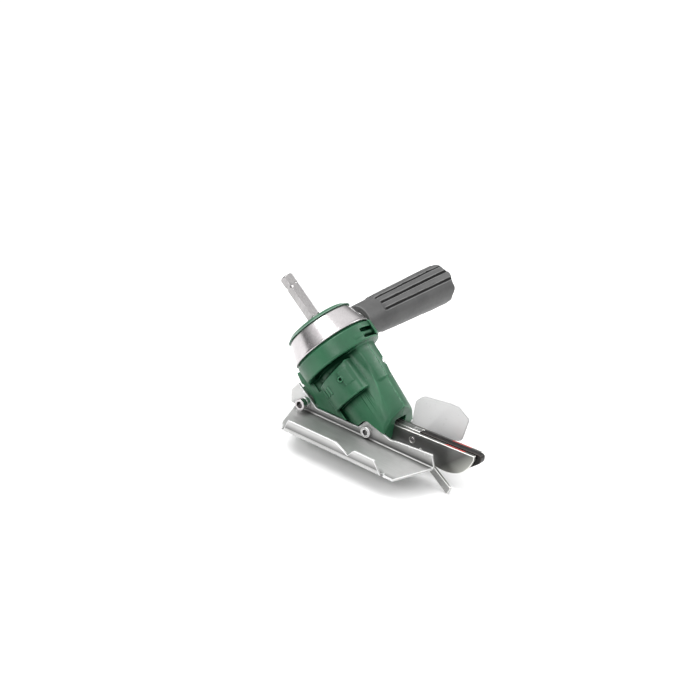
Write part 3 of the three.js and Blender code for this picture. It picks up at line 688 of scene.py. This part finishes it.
def make_cap():
    turns = [math.pi / 3 + 2 * math.pi * i / CAP_SCREWS for i in range(CAP_SCREWS)]
    screws = [(CAP_SCREWS_R * math.cos(turn), CAP_SCREWS_R * math.sin(turn)) for turn in turns]

    def cap(a, b, c):
        radius = hypot(a, b)
        disc = both(radius - CAP["radius"], span(c, CAP["top"], CAP["base"] - 0.15), 0.3)
        cone = (radius - CAP["top_r"] - 1.4 * (c - CAP["top"])) / math.hypot(1, 1.4)
        disc = both(disc, cone, 0.3)
        shape = less(disc, radius - 8.0, 0.4)
        for sa, sb in screws:
            from_screw = hypot(a - sa, b - sb)
            shape = less(shape, both(from_screw - 3.2, c - CAP["base"] + 1.2), 0.25)
            shape = less(shape, from_screw - 1.8)
        return shape

    cover = cast("cap_cover", cap, (-26.8, -26.8, -20), (26.8, 26.8, -17), 0.5, DRIVING, 0.5)
    fit(cover, CAP_GREEN, "green_paint", "root", "gearbox_cap")
    for i, (sa, sb) in enumerate(screws):
        head = fastener(2.8, 1.7, 0.45)
        place = Place(DRIVE_AT + LEFT * sa + RISE * sb + DRIVE * (CAP["base"] - 1.5), LEFT, -RISE, -DRIVE)
        made = cast(f"cap_screw_head_{i + 1}", head, (-3, -3, -3), (3, 3, 2), 0.3, place)
        fit(made, ZINC, "fastener_steel", "root", f"cap_screw_{i + 1}")


def fastener(head_r, head, socket=0.5, shank_r=1.6, shank=2.6):
    """A round-headed screw seen from its head, c pointing out, with a hexagon socket."""
    def field(a, b, c):
        radius = hypot(a, b)
        body = both(radius - head_r, span(c, 0, head), min(0.5, head * 0.3))
        body = less(body, both(hexagon(a, b, head_r * socket * 2), head * 0.35 - c), 0.12)
        return either(body, both(radius - shank_r, span(c, -shank, head * 0.3)), 0.1)
    return field


def make_band():
    def band(a, b, c):
        radius = hypot(a, b)
        offset = radius - band_radius(c)
        strap = both(span(offset, -BAND["thick"], 0), span(c, BAND["top"], BAND["base"]), 0.35)
        roll = hypot(offset + 0.35, c - BAND["base"] + 0.8) - 0.75
        strap = either(strap, roll, 0.4)
        reach = a * math.cos(HANDLE_TILT) + b * math.sin(HANDLE_TILT)
        lateral = b * math.cos(HANDLE_TILT) - a * math.sin(HANDLE_TILT)
        return less(strap, both(hypot(lateral, c - HANDLE_ALONG) - 4.4, 10 - reach), 0.2)

    made = cast("band_strap", band, (-31.6, -31.6, -17), (31.6, 31.6, 0.4), 0.5, DRIVING, 0.5)
    fit(made, POLISHED, "polished_steel", "root", "clamp_band")


SHANK_FLATS = 9.5
SHANK_TIP = -61.0          # along the drive axis
JOURNAL_R = 5.0
THROW = 1.5                # how far the eccentric's pin is off the shaft's axis


def make_shaft():
    def shaft(a, b, c):
        radius = hypot(a, b)
        from_pin = hypot(a, b - THROW)
        tip = both(hexagon(a, b, SHANK_FLATS), span(c, SHANK_TIP, -24.2), 0.25)
        tip = both(tip, radius - 5.45, 0.2)
        point = (radius - JOURNAL_R + (SHANK_TIP + 0.8 - c)) / math.sqrt(2)
        tip = both(tip, point, 0.2)
        groove = hypot(radius - 6.6, c + 52) - 1.9
        tip = less(tip, groove, 0.3)
        journal = both(radius - JOURNAL_R, span(c, -25, 22))
        shoulder = both(radius - 7.2, span(c, -4.7, 8.2), 0.4)
        web = both(from_pin - 7.0, span(c, 21.8, 25), 0.3)
        pin = both(from_pin - 4.0, span(c, 24, 39), 0.4)
        clip = both(span(from_pin, 3.4, 6), span(c, 37.3, 38.3))
        whole = either(either(tip, journal, 0.5), shoulder, 0.5)
        whole = either(either(whole, web, 0.3), pin, 0.5)
        return less(whole, clip)

    made = cast("shaft", shaft, (-7.2, -7.2, SHANK_TIP), (7.2, 8.7, 39.2), 0.38, DRIVING, 0.5)
    fit(made, SHANK, "polished_steel", "drive", "drive_shaft")


GRIP_ROOT, GRIP_NECK, GRIP_END = 33.4, 50.0, 131.0
GRIP_ROOT_R, GRIP_END_R = 13.0, 15.7
GRIP_FLUTES = 14
PANEL_TURN = math.radians(60)            # middle of the grip's one smooth strip, and half its width
PANEL_HALF = math.radians(38)


def make_grip():
    spread = 2 * math.pi / GRIP_FLUTES

    def grip(a, b, c):
        radius = hypot(a, b)
        turn = np.arctan2(b, a)
        share = (c - GRIP_ROOT) / (GRIP_END - GRIP_ROOT)
        outer = GRIP_ROOT_R + (GRIP_END_R - GRIP_ROOT_R) * share
        lobe = np.abs(((turn / spread) % 1.0) - 0.5) * spread * radius
        panel = np.clip((np.abs(np.angle(np.exp(1j * (turn - PANEL_TURN)))) - PANEL_HALF) * 6, 0, 1)
        fluted = np.clip((c - GRIP_NECK) / 3.0, 0, 1) * panel
        raised = 0.55 * fluted
        groove = 1.5 * fluted * np.clip(1.0 - lobe / 1.1, 0, 1) ** 0.7
        rib = 0.35 * fluted * np.clip(1.0 - np.abs(lobe - 1.55) / 0.5, 0, 1)
        shell = radius - np.minimum(outer + raised - groove + rib, 16.0)
        shell = both(shell, span(c, GRIP_ROOT, GRIP_END), 0.8)
        scallop = 0.9 * np.cos(turn * 8)
        nose = (radius - 11.6 - scallop + (c - GRIP_END) * 1.15) / 1.52
        shell = both(shell, nose, 0.4)
        socket = both(radius - 4.4, c - 62.3)
        return less(shell, socket, 0.2)

    made = cast("side_grip", grip, (-16, -16, GRIP_ROOT), (16, 16, GRIP_END), 0.5, HOLDING, 0.6)
    fit(made, GRIP, "grip_plastic", "root", "handle_grip")


def make_handle_mount():
    def boss(a, b, c):
        block = both(both(span(a, -7.8, 7.8), span(b, -5.9, 5.9), 2.2), span(c, 22, 31.0), 0.7)
        reach = c * math.sin(HANDLE_TILT)
        left = c * math.cos(HANDLE_TILT) - a * math.sin(HANDLE_TILT)
        up = a * math.cos(HANDLE_TILT) + reach
        from_axis = hypot(left, up)
        block = less(block, from_axis - band_radius(b + HANDLE_ALONG) - 0.3)
        return less(block, hypot(a, b) - STUD_HOLE_R)

    made = cast("handle_lug", boss, (-8, -7, 22), (8, 7, 31), 0.4, HOLDING)
    fit(made, GREEN, "green_paint", "root", "handle_boss")

    def washer(a, b, c):
        radius = hypot(a, b)
        return less(both(radius - 9.0, span(c, 31.5, 33.1), 0.3), radius - STUD_HOLE_R, 0.2)

    made = cast("grip_washer", washer, (-9, -9, 31), (9, 9, 33.2), 0.35, HOLDING)
    fit(made, ZINC, "fastener_steel", "root", "handle_washer")


# ---- Jaw and blade -----------------------------------------------------------------
CHEEK = [
    (-58, -0.5),
    (-22, -0.5, 3),
    (-12, -5, 4),
    (3, -6.8, 6),
    (14.5, -3, 5),
    (20.5, 4.5, 3),
    (23, 11),
    (22.8, 14.2, 0.6),
    (-40, 12),
    (-58, 12),
]
BLADE = [
    (-73, 3, 2),
    (-60, 2, 2),
    (-24, -0.5, 4),
    (4, -2, 3),
    (15.5, 3.5, 1),
    (19.6, 3.2, 0.4),
    (26.8, 9.5, 2),
    (26.8, 15.2, 3),
    (18, 14.9),
    (-23.4, 13.4),
    (-24, 10.9),
    (-73, 10.9, 2),
]


def make_jaw():
    for side, name, node in ((-1, "cheek_right", "right_cheek"), (1, "cheek_left", "left_cheek")):
        def cheek(x, y, z):
            out = y * side
            shape = both(polygon(x, z, CHEEK), span(out, SLOT_HALF, CHEEK_HALF), 0.45)
            pin = hypot(x - PIVOT[0], z - PIVOT[1])
            shape = less(shape, pin - 2.2, 0.35)
            return less(shape, hypot(x + 52, z - 5) - 2.3)

        low = (-58, min(side * 3, side * 6), -6.8)
        high = (23, max(side * 3, side * 6), 14.3)
        made = cast(name, cheek, low, high, 0.4, MODEL, 0.5)
        fit(made, JAW, "jaw_steel", "root", node)

    def strap(x, y, z):
        outline = [(-56, 11.3), (-24.6, 11.3), (-24.6, 12.9), (-44, 12.6), (-56, 12.2)]
        return both(polygon(x, z, outline), np.abs(y) - BLADE_HALF, 0.3)

    made = cast("jaw_strap", strap, (-56, -2.7, 11.3), (-24.6, 2.7, 12.9), 0.3, MODEL, 0.5)
    fit(made, STRAP, "jaw_steel", "root", "cheek_spacer")

    def blade(x, y, z):
        shape = both(polygon(x, z, BLADE), np.abs(y) - BLADE_HALF, 0.4)
        shape = less(shape, hypot(x - PIVOT[0], z - PIVOT[1]) - 3.9)
        shape = less(shape, hypot(x + 66, z - 6.5) - 2.3)
        return less(shape, hypot(x + 52, z - 5) - 4)

    made = cast("blade_plate", blade, (-73, -2.7, -2), (26.8, 2.7, 15.2), 0.4, MODEL, 0.5)
    fit(made, BLACK, "black_steel", "blade", "cutting_blade")

    def pin(a, b, c):
        radius = hypot(a, b)
        shape = both(radius - 1.9, span(c, -5.8, 6.25), 0.5)
        return less(shape, both(radius - 0.6, 5.7 - c), 0.2)

    made = cast("pivot_pin", pin, (-2, -2, -5.8), (2, 2, 6.3), 0.22, crosswise(*PIVOT, -1))
    fit(made, POLISHED, "polished_steel", "root", "blade_pivot_pin")


MARKS = {"start": -1.0, "end": 12.5, "count": 7, "width": 1.0, "lean": 0.9}


def make_marks():
    """Short red paint strokes across the tops of the cheeks, where the blade's bite is read."""
    top_slope = (14.2 - 12) / (22.8 + 40)
    for side, name in ((-1, "marks_right"), (1, "marks_left")):
        points, faces = [], []
        for i in range(MARKS["count"]):
            x = MARKS["start"] + (MARKS["end"] - MARKS["start"]) * i / (MARKS["count"] - 1)
            ring = []
            for dx, y in ((0, 3.5), (MARKS["width"], 3.5), (MARKS["width"], 5.5), (0, 5.5)):
                px = x + dx + MARKS["lean"] * (y - 4.5) * side
                ring.append((px, y * side, 12 + (px + 40) * top_slope))
            first = len(points)
            points += [(px, py, pz - 0.05) for px, py, pz in ring]
            points += [(px, py, pz + 0.07) for px, py, pz in ring]
            order = [(0, 1, 2, 3), (4, 7, 6, 5)]
            order += [(k, k + 4, (k + 1) % 4 + 4, (k + 1) % 4) for k in range(4)]
            faces += [tuple(first + k for k in face) for face in order]
        made = new_object(name, to_row(np.array(points), MODEL), faces)
        tidy = bmesh.new()
        tidy.from_mesh(made.data)
        bmesh.ops.recalc_face_normals(tidy, faces=tidy.faces)
        tidy.to_mesh(made.data)
        tidy.free()
        soften = made.modifiers.new("soften", "BEVEL")
        soften.width = 0.00003
        soften.segments = 2
        fit(made, RED, "jaw_steel", "root")


# ---- Chip guard ----------------------------------------------------------------------
GUARD_SCREWS = [(-34, 6), (-8, 6)]        # X and Z


def make_guard():
    fold_base, fold_top = np.array([-19.5, 21.1]), np.array([-9.2, 38.6])
    run = (fold_top - fold_base) / np.linalg.norm(fold_top - fold_base)
    outline = [
        (-37.6, 2.5, 1),
        (-37.4, 29.4, 2),
        (-32, 35.6, 3),
        (*fold_top, 1),
        (-2.6, 38, 2),
        (5.8, 31, 2),
        (2.2, 12, 3),
        (-3, 11, 1),
        (-3, 2.5, 3),
    ]
    spread = math.tan(math.radians(10))

    def guard(x, y, z):
        ahead = (x - fold_base[0]) * run[1] - (z - fold_base[1]) * run[0]
        lean = spread * 0.5 * (ahead + np.sqrt(ahead * ahead + 1.0))
        shape = both(polygon(x, z, outline), span(y - lean, 6.3, 8.0), 0.45)
        for sx, sz in GUARD_SCREWS:
            shape = less(shape, hypot(x - sx, z - sz) - 1.5)
        return shape

    made = cast("guard_screen", guard, (-37.6, 6.3, 2.5), (7.6, 13.0, 38.7), 0.42, MODEL, 0.5)
    fit(made, GUARD, "guard_plastic", "root", "chip_guard")
    for i, spot in enumerate(GUARD_SCREWS):
        place = crosswise(*spot, 1)
        place.origin = place.origin + LEFT * 8.3
        head = fastener(2.4, 1.6, 0.5, 1.2, 3.6)
        made = cast(f"guard_screw_head_{i + 1}", head, (-2.5, -2.5, -3.7), (2.5, 2.5, 1.6), 0.22, place)
        fit(made, ZINC, "fastener_steel", "root", f"guard_screw_{i + 1}")


# ---- Shoe ------------------------------------------------------------------------------
def make_shoe():
    def shoe(x, y, z):
        out = -y
        # The sheet's section in out and z: wall down, bend, foot out, bend, lip up.
        bend = 1.2
        mid = SHEET / 2
        wall_at = WALL_OUTER - mid
        foot_at = SOLE + mid
        lean_out, lean_up = math.sin(LIP_FLARE), math.cos(LIP_FLARE)
        from_wall = out - wall_at
        above = z - foot_at
        inner_corner = np.hypot(np.minimum(from_wall - bend - mid, 0), np.minimum(above - bend - mid, 0))
        near_corner = (from_wall < bend + mid) & (above < bend + mid)
        folded = np.where(near_corner, np.abs(inner_corner - bend - mid),
                          np.minimum(np.abs(from_wall), np.abs(above)))
        to_lip = (out - FOOT_OUTER - 2.2 + mid) * lean_up - (z - foot_at) * lean_out
        lip_line = np.abs(to_lip)
        reach_r = bend + mid
        corner = np.hypot(np.maximum(to_lip + reach_r, 0), np.minimum(above - reach_r, 0))
        at_lip = (to_lip > -reach_r) & (above < reach_r)
        folded_lip = np.where(at_lip, np.abs(corner - reach_r), np.minimum(lip_line, np.abs(above)))
        outer_half = out > (WALL_INNER + FOOT_OUTER) / 2
        sheet = np.where(outer_half, folded_lip, folded) - mid

        wall_zone = polygon(x, z, [*SIDE_OUTLINE, (0, 0), (-0.4, -30), (-124, -30)])
        foot_zone = polygon(x, out, [
            (-0.6, 10),
            (-0.6, WALL_OUTER),
            (-10, FOOT_OUTER + 1),
            (-19.8, FOOT_OUTER + 1.6),
            (-19.8, 90),
            (-106, 90),
            (-106, FOOT_OUTER, 2),
            (-112, FOOT_OUTER - 6, 4),
            (-123.4, WALL_OUTER),
            (-123.4, 10),
        ])
        lip_zone = polygon(x, z, [
            (-107.4, -8),
            (-99, LIP_HEIGHT, 1.2),
            (-57.7, LIP_HEIGHT, 1.2),
            (-47, 3.6, 0.6),
            (-41.5, LIP_HEIGHT - 0.3, 1.0),
            (-24.5, LIP_HEIGHT - 0.3, 1.4),
            (-19.2, -1.2, 0.4),
            (-19.2, -8),
        ])
        on_wall = out < WALL_OUTER + 2.0
        on_lip = out > FOOT_OUTER - 0.6
        outer_trim = np.where(on_lip, both(foot_zone, lip_zone), foot_zone)
        trim = np.where(on_wall & (z > 0.3), wall_zone, outer_trim)
        trim = np.where(on_lip & (z < 0.0), foot_zone, trim)
        shape = both(sheet, trim, 0.35)
        for bx, bz in (FRONT_BOLT, REAR_BOLT):
            shape = less(shape, both(hypot(x - bx, z - bz) - BOLT_HOLE_R, out - 30), 0.3)
        relief = hypot(x + 18.6, out - FOOT_OUTER - 0.4, (z + 1) * 0.5) - 1.3
        return less(shape, relief, 0.25)

    low, high = (-128.6, -59.6, -2.2), (0.2, -15.7, 18.7)
    made = cast("shoe_sheet", shoe, low, high, 0.45, MODEL, 0.5)
    fit(made, SHEET_STEEL, "sheet_steel", "root", "right_shoe")

    def side_plate(x, y, z):
        outline = [*SIDE_OUTLINE[:-1], (-14, 7.6, 2), (-14, -2.2, 2), (-124, -2.2, 1)]
        shape = both(polygon(x, z, outline), span(y, WALL_INNER, WALL_OUTER), 0.35)
        for bx, bz in (FRONT_BOLT, REAR_BOLT):
            shape = less(shape, hypot(x - bx, z - bz) - BOLT_HOLE_R, 0.3)
        return shape

    low, high = (-128.6, WALL_INNER, -2.2), (-14, WALL_OUTER, 18.7)
    made = cast("side_plate", side_plate, low, high, 0.45, MODEL, 0.4)
    fit(made, SHEET_STEEL, "sheet_steel", "root", "left_side_plate")

    def finger(x, y, z):
        outline = [(-18.5, 4.2, 1), (-15.8, 8, 1), (14.4, -11.2, 1), (12, -16.9, 1)]
        return both(polygon(x, z, outline), span(y, -BODY_HALF, -BODY_HALF + 2.2), 0.35)

    made = cast("finger_bar", finger, (-18.5, -15.5, -16.9), (14.4, -13.3, 8), 0.35, MODEL, 0.6)
    fit(made, STRAP, "sheet_steel", "root", "guide_finger")


def make_fasteners():
    for side, node in ((-1, "front_bolt_right"), (1, "front_bolt_left")):
        place = crosswise(*FRONT_BOLT, side)
        place.origin = place.origin + LEFT * side * (WALL_OUTER + 0.3)
        head = fastener(4.1, 2.8, 0.52, 2.5, 8)
        made = cast(node + "_head", head, (-4.1, -4.1, -8), (4.1, 4.1, 2.8), 0.28, place)
        fit(made, ZINC, "fastener_steel", "root", node)
    place = crosswise(*REAR_BOLT, -1)

    def rear_bolt(a, b, c):
        radius = hypot(a, b)
        seat, tip = WALL_OUTER + 4.3, WALL_OUTER + 9
        head = both(radius - 4.3, span(c, seat, tip), 0.5)
        head = less(head, both(hexagon(a, b, 4.6), tip - 2.6 - c), 0.2)
        return either(head, both(radius - 2.5, span(c, -23.5, seat + 1), 0.3), 0.1)

    made = cast("rear_bolt_head", rear_bolt, (-4.3, -4.3, -23.5), (4.3, 4.3, 27), 0.28, place)
    fit(made, POLISHED, "fastener_steel", "root", "rear_bolt")

    def sleeve(a, b, c):
        radius = hypot(a, b)
        tube = both(radius - 4.1, span(c, WALL_OUTER + 0.3, WALL_OUTER + 4.0), 0.3)
        return less(tube, radius - BOLT_HOLE_R, 0.2)

    made = cast("rear_sleeve", sleeve, (-4.3, -4.3, 18), (4.3, 4.3, 22.5), 0.28, place)
    fit(made, ZINC, "fastener_steel", "root", "rear_bolt_sleeve")

    def nut(a, b, c):
        block = both(hexagon(a, b, 8.0), span(c, -WALL_OUTER - 4.3, -WALL_OUTER - 0.3), 0.3)
        dome = hypot(a, b, (c + WALL_OUTER + 2.3) * 1.6) - 4.75
        return less(both(block, dome, 0.2), hypot(a, b) - BOLT_HOLE_R, 0.2)

    made = cast("rear_lock_nut", nut, (-4.7, -4.7, -22.5), (4.7, 4.7, -18), 0.28, place)
    fit(made, ZINC, "fastener_steel", "root", "rear_nut")
    for i, (sx, sz, seat) in enumerate(SCREW_SPOTS):
        place = crosswise(sx, sz, 1)
        place.origin = place.origin + LEFT * seat
        head = fastener(3.2, 3.0, 0.52, 1.6, 5)
        made = cast(f"housing_screw_head_{i + 1}", head, (-3.2, -3.2, -5), (3.2, 3.2, 3), 0.25, place)
        fit(made, ZINC, "fastener_steel", "root", f"housing_screw_{i + 1}")


# ---- CAD nodes that stay, with their own materials ---------------------------------------
CARRIED = {
    "fastener_steel": (INNER_STEEL, ["roller_circlip", "cheek_dowel", "rear_spacer_tube", "handle_stud",
                                     "rocker_pin", "rear_bearing_outer_race", "rear_bearing_inner_race",
                                     "front_bearing_outer_race", "front_bearing_inner_race"]),
    "polished_steel": (INNER_BRIGHT, ["eccentric_roller"]),
    "jaw_steel": (INNER_STEEL, ["counterweight", "rocker_fork"]),
    "bronze": (BRONZE, ["rear_bearing_ball_cage", "front_bearing_ball_cage", "pivot_bush"]),
    "seal_rubber": (RUBBER, ["shaft_seal"]),
}


def dress_cad():
    for slot, (material, names) in CARRIED.items():
        for name in names:
            node = frame["nodes"][name]
            node.data.materials.clear()
            node.data.materials.append(material)


# ---- Setting --------------------------------------------------------------------------
CAMERA_AZIMUTH = math.radians(33)
CAMERA_HEIGHT = math.radians(23.5)
CAMERA_ROLL = math.radians(8.5)
CAMERA_AWAY = 1.080                      # metres
LENS, SENSOR = 77.14, 36.0               # millimetres
AIM = Vector((15.71, 0.0, 1.06)) / 1000  # from the drive axis's origin
SKY = [(0.0, 0.16), (0.18, 0.2), (0.42, 0.58), (0.62, 0.9), (1.0, 1.0)]   # glow by height
SKY_STRENGTH = 1.35


def make_camera():
    camera = bpy.data.objects.new("camera", bpy.data.cameras.new("camera"))
    bpy.context.scene.collection.objects.link(camera)
    camera.data.lens = LENS
    camera.data.sensor_width = SENSOR
    back = Vector((
        math.sin(CAMERA_AZIMUTH) * math.cos(CAMERA_HEIGHT),
        -math.cos(CAMERA_AZIMUTH) * math.cos(CAMERA_HEIGHT),
        math.sin(CAMERA_HEIGHT),
    ))
    level = Vector((math.cos(CAMERA_AZIMUTH), math.sin(CAMERA_AZIMUTH), 0))
    upright = back.cross(level)
    right = level * math.cos(CAMERA_ROLL) + upright * math.sin(CAMERA_ROLL)
    up = upright * math.cos(CAMERA_ROLL) - level * math.sin(CAMERA_ROLL)
    target = Vector(((DRIVE_AT + DATUM) / 1000).tolist()) + AIM
    turn = Matrix((right, up, back)).transposed().to_4x4()
    camera.matrix_world = Matrix.Translation(target + back * CAMERA_AWAY) @ turn
    bpy.context.scene.camera = camera


def soft_light(name, place, size, power, aim=(0, 0, 0.04)):
    data = bpy.data.lights.new(name, "AREA")
    data.shape = "RECTANGLE"
    data.size, data.size_y = size
    data.energy = power
    lamp = bpy.data.objects.new(name, data)
    bpy.context.scene.collection.objects.link(lamp)
    lamp.location = place
    away = Vector(place) - Vector(aim)
    lamp.rotation_euler = away.to_track_quat("Z", "Y").to_euler()


def make_studio():
    floor = new_object("floor", np.array([(-9, -9, 0), (9, -9, 0), (9, 9, 0), (-9, 9, 0)], float),
                       [(0, 1, 2, 3)])
    n = Nodes("floor_look")
    tone = n.ramp(n.noise(3, 2), [(0.3, 0.93), (0.7, 0.95)])
    n.link(tone, "Base Color")
    n.shader.inputs["Roughness"].default_value = 0.8
    n.shader.inputs["Specular IOR Level"].default_value = 0.2
    floor.data.materials.append(n.material)

    world = bpy.data.worlds.new("studio")
    bpy.context.scene.world = world
    world.use_nodes = True
    tree = world.node_tree
    direction = tree.nodes.new("ShaderNodeSeparateXYZ")
    where = tree.nodes.new("ShaderNodeTexCoord")
    tree.links.new(where.outputs["Generated"], direction.inputs["Vector"])
    sky = tree.nodes.new("ShaderNodeValToRGB")
    stops = sky.color_ramp.elements
    while len(stops) < len(SKY):
        stops.new(0.5)
    for stop, (height, glow) in zip(stops, SKY):
        stop.position = height
        stop.color = (glow, glow, glow, 1)
    tree.links.new(direction.outputs["Z"], sky.inputs["Fac"])
    tree.links.new(sky.outputs["Color"], tree.nodes["Background"].inputs["Color"])
    tree.nodes["Background"].inputs["Strength"].default_value = SKY_STRENGTH
    soft_light("key", (-0.45, -0.3, 0.9), (0.5, 0.5), 5)
    soft_light("side", (0.1, -1.1, 0.75), (0.9, 0.25), 4)
    soft_light("rim", (0.5, 0.8, 0.7), (0.6, 0.4), 4)
    bpy.context.scene.view_settings.view_transform = "Standard"


make_camera()
make_housing()
make_cap()
make_band()
make_shaft()
make_grip()
make_handle_mount()
make_jaw()
make_marks()
make_guard()
make_shoe()
make_fasteners()
dress_cad()
make_studio()
